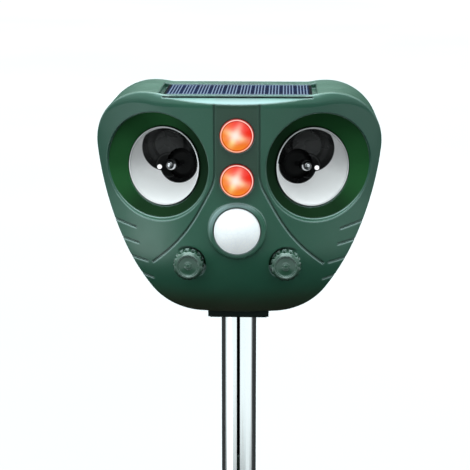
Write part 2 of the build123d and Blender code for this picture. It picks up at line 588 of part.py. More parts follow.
# ---------------------------------------------------------------- rear parts
def battery_door():
    """Lift-off battery door with a finger scoop and a hole for its screw."""
    middle = (DOOR_LOW + DOOR_HIGH) / 2
    y0 = DEPTH - DOOR_T
    front = RectangleRounded(2 * DOOR_HALF + 2, DOOR_HIGH - DOOR_LOW + 2, 3.8)
    plate = prism(Pos(0, middle) * front, y0, DEPTH)
    plate = fillet([e for e in plate.edges() if e.bounding_box().min.Y > DEPTH - 0.1], 0.6)
    plate -= Pos(0, DEPTH + 5.2, DOOR_HIGH - 7) * Rot(0, 90, 0) * Cylinder(6.0, 16)
    ribs = [box(-20, 20, DEPTH - 1, DEPTH + 0.5, z, z + 1) for z in (24, 27.5, 31)]
    plug = prism(Pos(0, middle) * Rectangle(2 * DOOR_HALF - 4, DOOR_HIGH - DOOR_LOW - 4), y0 - 1.8, y0)
    plug -= prism(Pos(0, middle) * Rectangle(2 * DOOR_HALF - 7, DOOR_HIGH - DOOR_LOW - 7), y0 - 3, y0)
    body = plate + plug + ribs
    hole = disc(0, DOOR_LOW + 4.6, 1.8, y0 - 5, DEPTH + 1)
    return body - hole - disc(0, DOOR_LOW + 4.6, 3.1, DEPTH - 1.1, DEPTH + 1)


def door_screw():
    """Captive screw of the battery door, with a cross slot."""
    y0 = DEPTH - 1.1
    screw = disc(0, DOOR_LOW + 4.6, 3.0, y0, DEPTH - 0.1) + disc(0, DOOR_LOW + 4.6, 1.7, y0 - 3.4, y0)
    slot = box(-1.7, 1.7, DEPTH - 0.8, DEPTH + 1, DOOR_LOW + 4.2, DOOR_LOW + 5.0)
    cross = box(-0.4, 0.4, DEPTH - 0.8, DEPTH + 1, DOOR_LOW + 2.9, DOOR_LOW + 6.3)
    return screw - slot - cross


def door_seal():
    """Foam seal round the battery opening, stuck to the door."""
    middle = (DOOR_LOW + DOOR_HIGH) / 2
    outer = Pos(0, middle) * Rectangle(2 * DOOR_HALF - 0.6, DOOR_HIGH - DOOR_LOW - 0.6)
    inner = Pos(0, middle) * Rectangle(2 * DOOR_HALF - 3.9, DOOR_HIGH - DOOR_LOW - 3.9)
    return prism(outer - inner, DEPTH - DOOR_T - GAP + 0.05, DEPTH - DOOR_T)


def battery_cells():
    """Three rechargeable cells across the bay, each with its cap."""
    cells = []
    for row, z in enumerate(CELL_AA_Z):
        flip = 1 if row % 2 == 0 else -1
        can = fillet(Cylinder(CELL_AA_R, CELL_AA_L - 1.5).edges(), 0.5)
        cell = can + Pos(0, 0, CELL_AA_L / 2) * Cylinder(2.7, 1.5)
        cells.append(Pos(-0.4 * flip, CELL_AA_Y, z) * Rot(0, 90 * flip, 0) * cell)
    return cells


def battery_contacts():
    """Contact plates at both ends of the bay."""
    plates = []
    for z in CELL_AA_Z:
        for s in (-1, 1):
            wall = s * (DOOR_HALF - 1.5)
            plates.append(box(min(wall, wall - s * 0.4), max(wall, wall - s * 0.4),
                              CELL_AA_Y - 5.5, CELL_AA_Y + 5.5, z - 5.5, z + 5.5))
    return plates


def battery_springs():
    """Conical coil springs that press the cells against the far contact."""
    springs = []
    for row, z in enumerate(CELL_AA_Z):
        flip = 1 if row % 2 == 0 else -1
        path = Helix(pitch=1.0, height=2.6, radius=4.2, cone_angle=-14)
        wire = sweep(Plane(origin=path @ 0, z_dir=path % 0) * Circle(0.35), path, is_frenet=True)
        springs.append(Pos(-flip * (DOOR_HALF - 2.3), CELL_AA_Y, z) * Rot(0, 90 * flip, 0) * wire)
    return springs


def power_switch():
    """Slide switch body behind the rear cover."""
    body = box(SWITCH_X - 8, SWITCH_X + 8, 70.0, 77.5, PORT_Z - 4.5, PORT_Z + 4.5)
    return body - box(SWITCH_X - 4.6, SWITCH_X + 4.6, 74, 79, PORT_Z - 1.7, PORT_Z + 1.7)


def power_slider():
    """Slider of the power switch with grip ribs; it travels towards +X."""
    x = SWITCH_X - 2.2
    body = box(x - 2.2, x + 2.2, 74.6, DEPTH + 0.4, PORT_Z - 1.6, PORT_Z + 1.6)
    ribs = [box(x + k - 0.25, x + k + 0.25, DEPTH, DEPTH + 0.9, PORT_Z - 1.6, PORT_Z + 1.6)
            for k in (-1.5, 0, 1.5)]
    return body + ribs


def usb_port():
    """Metal charging socket on its small board."""
    shell = box(USB_X - 4.5, USB_X + 4.5, 70.5, 77.4, PORT_Z - 1.65, PORT_Z + 1.65)
    shell -= box(USB_X - 4.1, USB_X + 4.1, 72, 79, PORT_Z - 1.25, PORT_Z + 1.25)
    tongue = box(USB_X - 3.2, USB_X + 3.2, 71.5, 76.8, PORT_Z - 0.35, PORT_Z + 0.35)
    board = box(USB_X - 8, USB_X + 8, 70.2, 77.4, PORT_Z - 3.2, PORT_Z - 1.65)
    return shell + tongue + board


def usb_flap():
    """Rubber flap over the charging socket; its upper edge is round about the hinge."""
    low, high = PORT_Z - 5.9, PORT_Z + 5.3
    y0, y1 = DEPTH - 1.3, DEPTH
    plate = box(USB_X - 8.9, USB_X + 8.9, y0, y1, low, high)
    roll = Pos(USB_X, (y0 + y1) / 2, high) * Rot(0, 90, 0) * Cylinder((y1 - y0) / 2, 17.8)
    plug = box(USB_X - 3.9, USB_X + 3.9, y0 - 1.6, y0, PORT_Z - 1.0, PORT_Z + 1.0)
    pull = box(USB_X - 4, USB_X + 4, y0, y1 + 1.2, low, low + 1.4)
    return plate + roll + plug + pull


def housing_screws():
    """Four long screws that draw the rear cover to the front housing."""
    screws = []
    for x, z in SCREW_PLACES:
        for s in (-1, 1):
            head = disc(s * x, z, 2.9, SPLIT + 4, SPLIT + 6.4)
            slots = box(s * x - 1.6, s * x + 1.6, SPLIT + 5.2, SPLIT + 7, z - 0.35, z + 0.35)
            slots += box(s * x - 0.35, s * x + 0.35, SPLIT + 5.2, SPLIT + 7, z - 1.6, z + 1.6)
            screws.append(head + disc(s * x, z, 1.35, SPLIT - 14, SPLIT + 4.1) - slots)
    return screws


# ---------------------------------------------------------------- assembly
def place(part):
    """Head frame to row frame; a list becomes one compound of separate solids."""
    shift = Location((0, -POLE_DEPTH, HEAD_Z))
    if isinstance(part, (list, tuple)):
        solids = [solid.moved(shift) for item in part for solid in item.solids()]
        return Compound(children=solids)
    return part.moved(shift)


def build_all():
    """Every node by name, in the row frame."""
    outside, inside = head_outside(), head_inside()
    head = {
        "front_housing": front_housing(outside, inside),
        "rear_cover": rear_cover(outside, inside),
        "pole_socket": pole_socket(),
        "pole_socket_screws": socket_screws(),
        "housing_screws": housing_screws(),
        "solar_cell": panel_layer(0.5, 1.1),
        "solar_panel_pad": panel_layer(0.0, 0.5, 2.0),
        "solar_panel_cover": panel_layer(1.6, 0.8),
        "pir_lens": pir_lens(),
        "pir_retainer": pir_retainer(),
        "pir_sensor": pir_sensor(),
        "strobe_leds": strobe_leds(),
        "main_board": main_board(),
        "board_components": board_parts(),
        "board_screws": board_screws(),
        "wiring": wiring(),
        "battery_door": battery_door(),
        "battery_door_screw": door_screw(),
        "battery_door_seal": door_seal(),
        "battery_cells": battery_cells(),
        "battery_contacts": battery_contacts(),
        "battery_springs": battery_springs(),
        "power_switch": power_switch(),
        "power_slider": power_slider(),
        "usb_port": usb_port(),
        "usb_flap": usb_flap(),
    }
    for name, z in zip(("lower", "upper"), LED_Z):
        head[name + "_led_lens"] = led_lens(z)
        head[name + "_led_reflector"] = led_reflector(z)
    for name, side in EYES.items():
        head[name + "_horn"] = horn(side)
        head[name + "_driver"] = driver(side)
        head[name + "_phase_plug"] = phase_plug(side)
        head[name + "_horn_seal"] = horn_seal(side)
    for name, side in KNOBS.items():
        head[name + "_knob"] = knob(side)
        head[name + "_shaft"] = shaft(side)
        head[name + "_potentiometer"] = potentiometer(side)
        head[name + "_knob_seal"] = knob_seal(side)
    nodes = {name: place(part) for name, part in head.items()}
    nodes["ground_spike"] = ground_spike()
    nodes["lower_tube"] = tube(HUB_H, JOINER_Z)
    nodes["tube_joiner"] = tube_joiner()
    nodes["upper_tube"] = tube(JOINER_Z + JOINER_H, HEAD_Z + SOCKET_TOP - 0.1)
    return nodes


os.makedirs("parts", exist_ok=True)
for node, shape in build_all().items():
    export_step(shape, f"parts/{node}.step")
    print(node, round(shape.volume, 1), len(shape.solids()))
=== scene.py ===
import math

import bpy
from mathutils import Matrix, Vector


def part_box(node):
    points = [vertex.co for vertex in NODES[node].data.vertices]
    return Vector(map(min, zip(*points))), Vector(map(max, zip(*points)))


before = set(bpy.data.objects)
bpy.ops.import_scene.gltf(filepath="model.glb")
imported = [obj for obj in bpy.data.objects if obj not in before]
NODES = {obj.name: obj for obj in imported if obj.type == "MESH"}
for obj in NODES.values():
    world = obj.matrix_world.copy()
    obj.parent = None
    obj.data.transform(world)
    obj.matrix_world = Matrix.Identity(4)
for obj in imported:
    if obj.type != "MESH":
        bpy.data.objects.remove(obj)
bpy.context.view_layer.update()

MM = 0.001              # metres in a millimetre
SIDES = {"left": -1, "right": 1}

# Sizes are in millimetres in the row frame; noise scales are in cells per metre.
# Eyes: middle of the rim plane, and the axis turned outwards and tilted up.
EYE_AT = (43.9, -21.6, 284.3)
EYE_TURN, EYE_TILT = math.radians(22.5), math.radians(5.0)
RIM_AT, RIM_HALF = (44.3, 285.2), (28.8, 30.2)      # the recess's ellipse seen from the front
MOUTH_R, LIP_R = 21.0, 21.65    # where a horn's bowl ends, and where its lip ends
VIEW_DROP = 0.185       # slope of the usual line of sight down onto the face
VIEW_LEAN = {"left": 0.088, "right": 0.018}     # its slope towards the nose inside each eye

# Pupils: a point in each horn, then places towards the nose and up from it, where each pupil's painted
# reflection is drawn
PUPIL_AT = (41.4, -15.5, 283.7)
PUPIL_DISCS = (((1.5, 10.5), 13.4), ((8.6, 0.9), 10.6), ((9.0, 9.5), 13.0))
PUPIL_SHEEN_AT, PUPIL_SHEEN_R, PUPIL_HALO_R = (3.5, 12.5), 8.0, 11.0
BULLET_AT, BULLET_R, BULLET_RING_R = (2.9, 0.4), 7.65, 6.6
# place and radius of the painted glint in each horn
GLINT_AT, GLINT_R = (-2.2, -0.45), 1.3

# Head
SENSOR_AT = 251.2       # height of the motion sensor's middle
COLLAR_R, COLLAR_GAP_R = 14.6, 12.95
STRIP_HALF = 10.5       # half width of the strip that holds the lamps
LEDGE_FRONT, LEDGE_LOW, LEDGE_HALF = -28.5, 319.5, 50.0
# heights where the painted shade of the underside starts and where it is strongest
UNDERSIDE_SHADE_TOP, UNDERSIDE_SHADE_LOW = 220.0, 199.0
EDGE = 0.8              # radius that catches the light along moulded edges

# Lamps, solar panel and pole
LAMP_GAP_R, LAMP_RIM_R, LAMP_EDGE_R = 7.9, 8.55, 8.8
STAR_AT, STAR_TURN = (-0.7, 0.3), math.radians(66.0)
CELLS, CELL_PITCH = 10, 7.8
FINGERS = (1.35, 3.05, 4.75, 6.45)      # places of the fingers across each cell
POLE_SKIN = 9.8         # the pole is polished outside this radius

# Camera: target, angles, distance in metres, focal length and sensor width
CAMERA_TARGET = (-0.9, -40.0, 250.3)
CAMERA_SIDE, CAMERA_PITCH = math.radians(2.0), math.radians(13.0)
CAMERA_REACH, CAMERA_LENS, CAMERA_SENSOR = 0.780, 110.2, 36.0
FLOOR_HALF = 30.0       # metres


def srgb(r, g, b):
    """Linear colour from 8-bit sRGB values."""
    def lin(c):
        c /= 255.0
        return c / 12.92 if c <= 0.04045 else ((c + 0.055) / 1.055) ** 2.4
    return (lin(r), lin(g), lin(b), 1.0)


def grey(value):
    """Linear grey."""
    return (value, value, value, 1)


# Linear colours
HEAD_GREEN = srgb(34, 79, 60), srgb(39, 85, 66)
COVER_GREEN = srgb(38, 78, 62), srgb(42, 84, 67)
KNOB_GREEN = srgb(30, 62, 46), srgb(36, 70, 53)
BLACK_PLASTIC = srgb(6, 14, 9), srgb(10, 18, 13)
DUST = srgb(140, 155, 145)
# painted shade of the underside: dark brownish green
UNDERSIDE_SHADE = srgb(50, 45, 24)
# painted shade of the strip between the eyes
STRIP_SHADE = srgb(36, 42, 30)
# painted shade on the front of the face out around the eyes
OUTER_SHADE = (0.004, 0.050, 0.030, 1)
# painted shade and painted light on the recess walls
RECESS_PAINTED_SHADE, RECESS_PAINTED_LIGHT = (0.0035, 0.020, 0.0045, 1), (0.020, 0.105, 0.030, 1)
# painted highlights of the ledge and of the collar's crown
LEDGE_HIGHLIGHT, COLLAR_HIGHLIGHT = (0.22, 0.36, 0.37, 1), (0.24, 0.34, 0.34, 1)
# painted shadow in the gap around the dome
COLLAR_GAP_SHADE = (0.003, 0.006, 0.005, 1)
# painted highlight and painted shade along moulded edges
EDGE_HIGHLIGHT, EDGE_SHADE = (0.38, 0.52, 0.50, 1), (0.004, 0.009, 0.007, 1)
# painted highlight along the knobs' edges
KNOB_EDGE_HIGHLIGHT = (0.30, 0.40, 0.37, 1)
SILVER = (0.93, 0.925, 0.93, 1), (0.97, 0.965, 0.965, 1)
# painted shade of the bowl's silver
SILVER_PAINTED_SHADE = (0.30, 0.30, 0.31, 1)
HORN_EDGE = (0.006, 0.012, 0.007, 1)
LAMP_RED, LAMP_ORANGE, LAMP_AMBER = (0.80, 0.02, 0.01, 1), (0.82, 0.09, 0.005, 1), (0.88, 0.24, 0.02, 1)
RAY_PINK, RAY_AMBER, LAMP_CORE = (0.97, 0.42, 0.32, 1), (0.98, 0.78, 0.26, 1), (1.0, 0.96, 0.86, 1)
# painted shade at the lamp's gap and outer edge, and the painted highlight of its rim
LAMP_GAP_SHADE, LAMP_RIM_HIGHLIGHT, LAMP_EDGE_SHADE = (0.16, 0.01, 0.005, 1), (1.0, 0.72, 0.66, 1), (0.10, 0.004, 0.002, 1)
LAMP_UNLIT = (0.20, 0.012, 0.006, 1)
DOME_HAZE = (0.55, 0.57, 0.58, 1), (0.50, 0.53, 0.55, 1)
# facet lines, and the dome's painted glow
DOME_SEAM, DOME_PAINTED_GLOW = (0.42, 0.46, 0.49, 1), (0.92, 0.98, 1.0, 1)
SILICON = (0.002, 0.006, 0.03, 1), (0.003, 0.012, 0.05, 1)
CELL_GAP, CELL_SILVER = (0.004, 0.006, 0.012, 1), (0.20, 0.25, 0.34, 1)
PANEL_EDGE = (0.004, 0.006, 0.008, 1)
STEEL = (0.88, 0.91, 0.92, 1), (0.95, 0.965, 0.97, 1)
# painted shade inside the tube
STEEL_INSIDE_SHADE = (0.012, 0.014, 0.015, 1)


def box_centre(name):
    """Centre of a node's box, in millimetres."""
    low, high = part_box(name)
    return (low + high) / 2 / MM


# ---------------------------------------------------------------- node helpers
class Nodes:
    """Shorthand for building a node tree."""

    def __init__(self, tree):
        self.tree = tree

    def put(self, value, socket):
        """Link an output to a socket, or set the socket's value."""
        if hasattr(value, "is_linked"):
            self.tree.links.new(value, socket)
        else:
            socket.default_value = value

    def fill(self, node, values, named):
        """Set or link a node's inputs, by place and by name."""
        for place, value in enumerate(values):
            self.put(value, node.inputs[place])
        for name, value in named.items():
            self.put(value, node.inputs[name])
        return node

    def node(self, kind, *values, **named):
        """New node with its inputs filled."""
        return self.fill(self.tree.nodes.new(kind), values, named)

    def math(self, operation, *values):
        """Result of one arithmetic node."""
        node = self.node("ShaderNodeMath", *values)
        node.operation = operation
        return node.outputs[0]

    def vec(self, operation, *values, **named):
        """Vector node; its operation is set first, because it decides which inputs there are."""
        node = self.tree.nodes.new("ShaderNodeVectorMath")
        node.operation = operation
        return self.fill(node, values, named)

    def span(self, value, low, high, out_low=0.0, out_high=1.0):
        """Value mapped smoothly from one range to another, clamped."""
        node = self.node("ShaderNodeMapRange", value, low, high, out_low, out_high)
        node.interpolation_type = "SMOOTHSTEP"
        return node.outputs[0]

    def between(self, value, low, low_full, high_full, high):
        """1 within a range, fading at both ends."""
        return self.mul(self.span(value, low, low_full), self.span(value, high, high_full))

    def mix(self, factor, a, b):
        """Mix of two colours."""
        node = self.tree.nodes.new("ShaderNodeMix")
        node.data_type = "RGBA"
        self.put(factor, node.inputs[0])
        self.put(a, node.inputs[6])
        self.put(b, node.inputs[7])
        return node.outputs[2]

    def split(self, vector):
        """The three parts of a vector."""
        return self.node("ShaderNodeSeparateXYZ", vector).outputs[:3]

    def fold(self, operation, values):
        """One arithmetic operation over several values."""
        total = values[0]
        for value in values[1:]:
            total = self.math(operation, total, value)
        return total

    def add(self, *values):
        """Sum of several values."""
        return self.fold("ADD", values)

    def mul(self, *values):
        """Product of several values."""
        return self.fold("MULTIPLY", values)

    def most(self, *values):
        """Largest of several values."""
        return self.fold("MAXIMUM", values)

    def less(self, a, b):
        """First value less the second."""
        return self.math("SUBTRACT", a, b)

    def size(self, value):
        """Value without its sign."""
        return self.math("ABSOLUTE", value)

    def away(self, u, v, centre=(0.0, 0.0)):
        """Distance of a flat place from a centre."""
        du = self.less(u, centre[0])
        dv = self.less(v, centre[1])
        return self.math("SQRT", self.add(self.mul(du, du), self.mul(dv, dv)))

    def disc(self, away, r, soft):
        """1 inside a radius, with a soft edge."""
        return self.span(away, r - soft, r + soft, 1.0, 0.0)

    def ring(self, away, r, half, soft=0.12):
        """1 on a ring of a radius and half width."""
        return self.disc(self.size(self.less(away, r)), half, soft)


class Mat(Nodes):
    """A node material under construction."""

    def __init__(self, name, **values):
        self.mat = bpy.data.materials.new(name)
        self.mat.use_nodes = True
        super().__init__(self.mat.node_tree)
        self.bsdf = self.tree.nodes["Principled BSDF"]
        coordinates = self.tree.nodes.new("ShaderNodeTexCoord")
        self.coords = coordinates.outputs["Object"]
        self.normal = coordinates.outputs["Normal"]
        self.set(**values)

    def set(self, **values):
        """Constants or links on the shader's sockets; underscores stand for spaces."""
        for key, value in values.items():
            self.put(value, self.bsdf.inputs[key.replace("_", " ")])
        return self

    def source(self, name):
        """The output that feeds one of the shader's sockets."""
        return self.bsdf.inputs[name].links[0].from_socket

    def where(self):
        """The shaded point's place, in millimetres."""
        return self.split(self.vec("SCALE", self.coords, Scale=1 / MM).outputs[0])

    def noise(self, scale, detail=2.0, rough=0.5, stretch=(1, 1, 1)):
        """Value of a noise texture, with the object's own coordinates stretched."""
        mapping = self.node("ShaderNodeMapping", self.coords, Scale=stretch)
        node = self.node("ShaderNodeTexNoise", Vector=mapping.outputs[0], Scale=scale,
                         Detail=detail, Roughness=rough)
        return node.outputs["Fac"]

    def rounded(self, radius):
        """Normal of the surface with its edges rounded by a radius."""
        node = self.node("ShaderNodeBevel", radius * MM)
        node.samples = 6
        return node.outputs[0]

    def bump(self, height, distance, strength=1.0, edge=0.0):
        """Bump from a height, over edges rounded by a radius."""
        node = self.node("ShaderNodeBump", Height=height, Strength=strength, Distance=distance * MM)
        if edge:
            self.put(self.rounded(edge), node.inputs["Normal"])
        return self.set(Normal=node.outputs[0])

    def painted_edge_light(self, body, light, share):
        """Colour with painted highlights on the edges that turn upwards and painted shade on those that
        turn downwards.
        """
        flat = self.node("ShaderNodeNewGeometry").outputs["Normal"]
        turn = self.less(self.split(self.rounded(2 * EDGE))[2], self.split(flat)[2])
        # painted highlights where edges turn up, painted shade where they turn down
        body = self.mix(self.mul(self.span(turn, 0.03, 0.35), share), body, light)
        return self.mix(self.mul(self.span(turn, -0.05, -0.4), 0.7), body, EDGE_SHADE)

    def front_view(self, x, z, side=1):
        """Places outwards and up from a point, seen from the front."""
        px, _, pz = self.where()
        return self.math("MULTIPLY_ADD", px, side, -x), self.less(pz, z)


def paint(material, *names):
    """Give CAD nodes a material."""
    for name in names:
        slots = NODES[name].data.materials
        slots.clear()
        slots.append(material.mat)


# ---------------------------------------------------------------- plastics
def moulded(name, colours, rough=0.36, dust=0.05):
    """Injection-moulded plastic: fine spark-eroded grain, faint clouding, light dust."""
    m = Mat(name)
    body = m.mix(m.span(m.noise(22.0, 3.0, 0.55), 0.35, 0.65), *colours)
    specks = m.span(m.noise(1700.0, 1.0), 0.66, 0.74, 0.0, dust)
    m.set(Base_Color=m.mix(specks, body, DUST))
    m.set(Roughness=m.span(m.noise(70.0, 3.0), 0.3, 0.7, rough - 0.04, rough + 0.06))
    m.set(Specular_Tint=(0.72, 1.0, 0.94, 1), Coat_Weight=0.35, Coat_Roughness=0.16)
    return m.bump(m.noise(2400.0, 2.0, 0.6), 0.012, 0.5, EDGE)


def eye_axes(side):
    """Middle of an eye's rim plane, its axis, and the direction across it towards the side with painted
    light: outwards and down.
    """
    axis = Vector((side * math.sin(EYE_TURN) * math.cos(EYE_TILT),
                   -math.cos(EYE_TURN) * math.cos(EYE_TILT), math.sin(EYE_TILT)))
    origin = Vector((side * EYE_AT[0], EYE_AT[1], EYE_AT[2])) * MM
    outward = Vector((side * math.cos(EYE_TURN), math.sin(EYE_TURN), 0.0))
    upward = outward.cross(axis) * side
    return origin, axis, (outward * 0.80 - upward * 0.60).normalized()


def eye_polar(m, side):
    """Distance from an eye's axis, and how far round to the side with painted light a point lies, from
    -1 to 1.
    """
    origin, axis, lit = eye_axes(side)
    local = m.vec("SUBTRACT", m.coords, tuple(origin)).outputs[0]
    depth = m.vec("DOT_PRODUCT", local, tuple(axis)).outputs["Value"]
    along = m.vec("SCALE", tuple(axis), Scale=depth).outputs[0]
    flat = m.vec("SUBTRACT", local, along).outputs[0]
    radial = m.vec("LENGTH", flat).outputs["Value"]
    towards = m.vec("DOT_PRODUCT", flat, tuple(lit)).outputs["Value"]
    return m.mul(radial, 1 / MM), m.math("DIVIDE", towards, m.most(radial, 0.0001))


def head_painted_shade(m, body):
    """Painted shade on the head: darker and browner low down, a darker strip between the eyes, and a
    deeper green on the front around them.
    """
    px, _, pz = m.where()
    aside = m.size(px)
    patches = m.span(m.noise(45.0, 4.0), 0.2, 0.6, 0.75, 1.0)
    # painted shade: darker and browner towards the bottom
    body = m.mix(m.mul(m.span(pz, UNDERSIDE_SHADE_TOP, UNDERSIDE_SHADE_LOW, 0.0, 0.9), patches), body, UNDERSIDE_SHADE)
    # painted shade: a darker strip between the eyes
    strip = m.mul(m.span(aside, STRIP_HALF, STRIP_HALF + 2.5, 0.55, 0.0), m.span(pz, 268.0, 285.0))
    body = m.mix(strip, body, STRIP_SHADE)
    # painted shade: a deeper green on the front of the face out around the eyes
    facing = m.span(m.split(m.normal)[1], -0.3, -0.7)
    outer = m.mul(m.span(aside, 22.0, 45.0, 0.0, 0.6), facing, m.span(pz, 258.0, 275.0))
    return m.mix(outer, body, OUTER_SHADE)


def ledge_highlight(m, body):
    """Painted highlight on the ledge above the face, palest towards its front."""
    px, py, pz = m.where()
    ends = m.span(m.size(px), LEDGE_HALF, LEDGE_HALF - 10.0)
    upward = m.span(m.split(m.normal)[2], 0.35, 0.8)
    depth = m.span(py, LEDGE_FRONT + 1.0, LEDGE_FRONT)
    faded = m.span(py, -32.0, -38.0, 0.3, 0.7)
    highlight = m.mul(ends, upward, depth, faded, m.span(pz, LEDGE_LOW, LEDGE_LOW + 1.5))
    # painted highlight, pale, along the ledge
    return m.mix(highlight, body, LEDGE_HIGHLIGHT)


def sensor_collar(m, body):
    """Collar around the sensor: a painted highlight on its upper left and a painted shadow in the gap at
    the dome.
    """
    u, v = m.front_view(0.0, SENSOR_AT)
    away = m.away(u, v)
    upper_left = m.span(m.less(v, m.mul(u, 0.5)), 2.0, 14.0)
    # painted highlight on the collar's upper left
    crown = m.mul(m.ring(away, COLLAR_R, 1.2, 0.5), upper_left, 0.75)
    body = m.mix(crown, body, COLLAR_HIGHLIGHT)
    # painted shadow in the gap between the collar and the dome
    return m.mix(m.ring(away, COLLAR_GAP_R, 0.35, 0.15), body, COLLAR_GAP_SHADE)


def eye_recesses(m, body):
    """Deep green walls of both recesses with painted shade, lighter with painted light on their lit
    sides, and a point's share inside them.
    """
    inside = 0.0
    for side in SIDES.values():
        share = eye_polar(m, side)[1]
        u, v = m.front_view(*RIM_AT, side=side)
        away = m.away(m.mul(u, 1 / RIM_HALF[0]), m.mul(v, 1 / RIM_HALF[1]))
        walls = m.span(away, 0.984, 0.992, 1.0, 0.0)
        # painted shade on the walls, lighter with painted light on the lit side
        body = m.mix(walls, body, m.mix(m.span(share, -0.2, 0.95), RECESS_PAINTED_SHADE, RECESS_PAINTED_LIGHT))
        inside = m.most(inside, walls)
    return body, inside


def head_green():
    """Green of the head, with painted shade low down, between and around the eyes and along down-turned
    edges, painted highlights on the ledge, the collar and up-turned edges, a painted shadow at the dome,
    and deep glossy green in the eye recesses with painted light and shade on their walls.
    """
    m = moulded("head_green", HEAD_GREEN)
    body = sensor_collar(m, ledge_highlight(m, head_painted_shade(m, m.source("Base Color"))))
    body, inside = eye_recesses(m, body)
    rough = m.math("MULTIPLY_ADD", inside, 0.05, m.source("Roughness"))
    m.set(Base_Color=m.painted_edge_light(body, EDGE_HIGHLIGHT, 0.7), Metallic=m.mul(inside, 0.85), Roughness=rough)
    return m.set(Coat_Weight=m.math("MULTIPLY_ADD", inside, -0.4, 0.4))


def knob_green():
    """Glossy green of the knobs, with painted highlights and shade along their edges."""
    m = moulded("knob_green", KNOB_GREEN, 0.18)
    m.set(Coat_Weight=0.7, Coat_Roughness=0.07)
    return m.set(Base_Color=m.painted_edge_light(m.source("Base Color"), KNOB_EDGE_HIGHLIGHT, 0.7))


def black_plastic():
    """Dull black of the socket, the joiner and the spike."""
    m = moulded("black_plastic", BLACK_PLASTIC, 0.4, dust=0.02)
    return m.set(Specular_IOR_Level=0.2, Coat_Weight=0.0)


# ---------------------------------------------------------------- horns
def pupil_view(m, name):
    """Places towards the nose and up from a pupil's point, along the usual line of sight."""
    out, up = m.front_view(PUPIL_AT[0], PUPIL_AT[2], SIDES[name])
    behind = m.less(m.where()[1], PUPIL_AT[1])
    nose = m.less(m.mul(behind, VIEW_LEAN[name]), out)
    return nose, m.math("MULTIPLY_ADD", behind, VIEW_DROP, up)


def pupil_reflection_zone(m, nose, up, radial):
    """1 inside a pupil's painted reflection: three discs run together, short of the horn's lip."""
    discs = [m.disc(m.away(nose, up, centre), r, 0.25) for centre, r in PUPIL_DISCS]
    return m.mul(m.most(*discs), m.span(radial, MOUTH_R - 0.4, MOUTH_R - 0.1, 1.0, 0.0))


def pupil_reflection_black(m, nose, up):
    """Painted reflection of a pupil: blacks with a painted sheen and halo, and the dark bullet with its
    painted ring.
    """
    sheen_away = m.away(nose, up, PUPIL_SHEEN_AT)
    sheen = m.span(sheen_away, PUPIL_SHEEN_R - 0.2, PUPIL_SHEEN_R + 0.2, 0.034, 0.003)
    halo = m.mul(m.ring(sheen_away, PUPIL_HALO_R, 1.3, 0.8), 0.016)
    bullet_away = m.away(nose, up, BULLET_AT)
    beyond = m.span(bullet_away, BULLET_R - 0.25, BULLET_R + 0.25)
    bullet_ring = m.mul(m.ring(bullet_away, BULLET_RING_R, 0.35, 0.3), 0.03)
    shade = m.add(m.mul(m.add(sheen, halo), beyond), bullet_ring, 0.0025)
    return m.node("ShaderNodeCombineColor", shade, shade, shade).outputs[0]


def bowl_silver(m, nose, up):
    """Satin silver of the bowl, with painted shade towards its upper outer side."""
    silver = m.mix(m.span(m.noise(300.0, 2.0), 0.3, 0.7), *SILVER)
    # painted shade towards the upper outer side
    shaded = m.span(m.add(up, m.mul(nose, -0.25)), -4.0, 13.0, 0.0, 0.6)
    return m.mix(shaded, silver, SILVER_PAINTED_SHADE)


def horn_silver(name):
    """Satin silver bowl with painted light: the pupil's painted reflection with its rings, a small white
    painted glint, and a faint painted glow on the bare silver.
    """
    m = Mat("horn_silver_" + name, Specular_IOR_Level=0.2)
    radial = eye_polar(m, SIDES[name])[0]
    nose, up = pupil_view(m, name)
    zone = pupil_reflection_zone(m, nose, up, radial)
    # painted glint: a small white highlight that also glows
    glint = m.disc(m.away(nose, up, GLINT_AT), GLINT_R, 0.2)
    lip = m.span(radial, MOUTH_R, MOUTH_R + 0.15)
    # the pupil is a painted reflection: blacks, sheen, halo and rings
    colour = m.mix(zone, bowl_silver(m, nose, up), pupil_reflection_black(m, nose, up))
    colour = m.mix(glint, colour, grey(0.95))
    colour = m.mix(m.span(radial, LIP_R, LIP_R + 0.15), colour, HORN_EDGE)
    bare = m.less(1.0, m.most(zone, glint))
    m.set(Base_Color=colour, Metallic=m.mul(bare, m.math("MULTIPLY_ADD", lip, 0.7, 0.1)))
    rough = m.span(m.noise(90.0, 3.0), 0.3, 0.7, 0.38, 0.46)
    m.set(Roughness=m.math("MULTIPLY_ADD", zone, -0.15, rough))
    # painted light: the bare silver of the bowl glows faintly
    glow = m.mul(m.less(1.0, m.most(zone, lip)), 0.10)
    m.set(Emission_Color=(0.95, 0.94, 0.95, 1), Emission_Strength=m.most(m.mul(glint, 0.8), glow))
    return m.bump(m.noise(2500.0, 2.0, 0.5), 0.004, 0.3)


def plug_metal(name):
    """Turned metal bullet, dark, with painted highlights in bright rings."""
    m = Mat("plug_metal_" + name, Metallic=1.0, Roughness=0.22)
    radial = eye_polar(m, SIDES[name])[0]
    # painted highlights: bright rings on the dark metal
    faint = m.mul(m.ring(radial, 1.6, 0.2), 0.4)
    bright = m.most(m.ring(radial, 2.8, 0.28), m.ring(radial, 0.5, 0.45), faint)
    m.set(Base_Color=m.mix(bright, (0.02, 0.02, 0.022, 1), (0.8, 0.8, 0.82, 1)))
    return m.bump(m.noise(3000.0, 1.0), 0.005, 0.3)


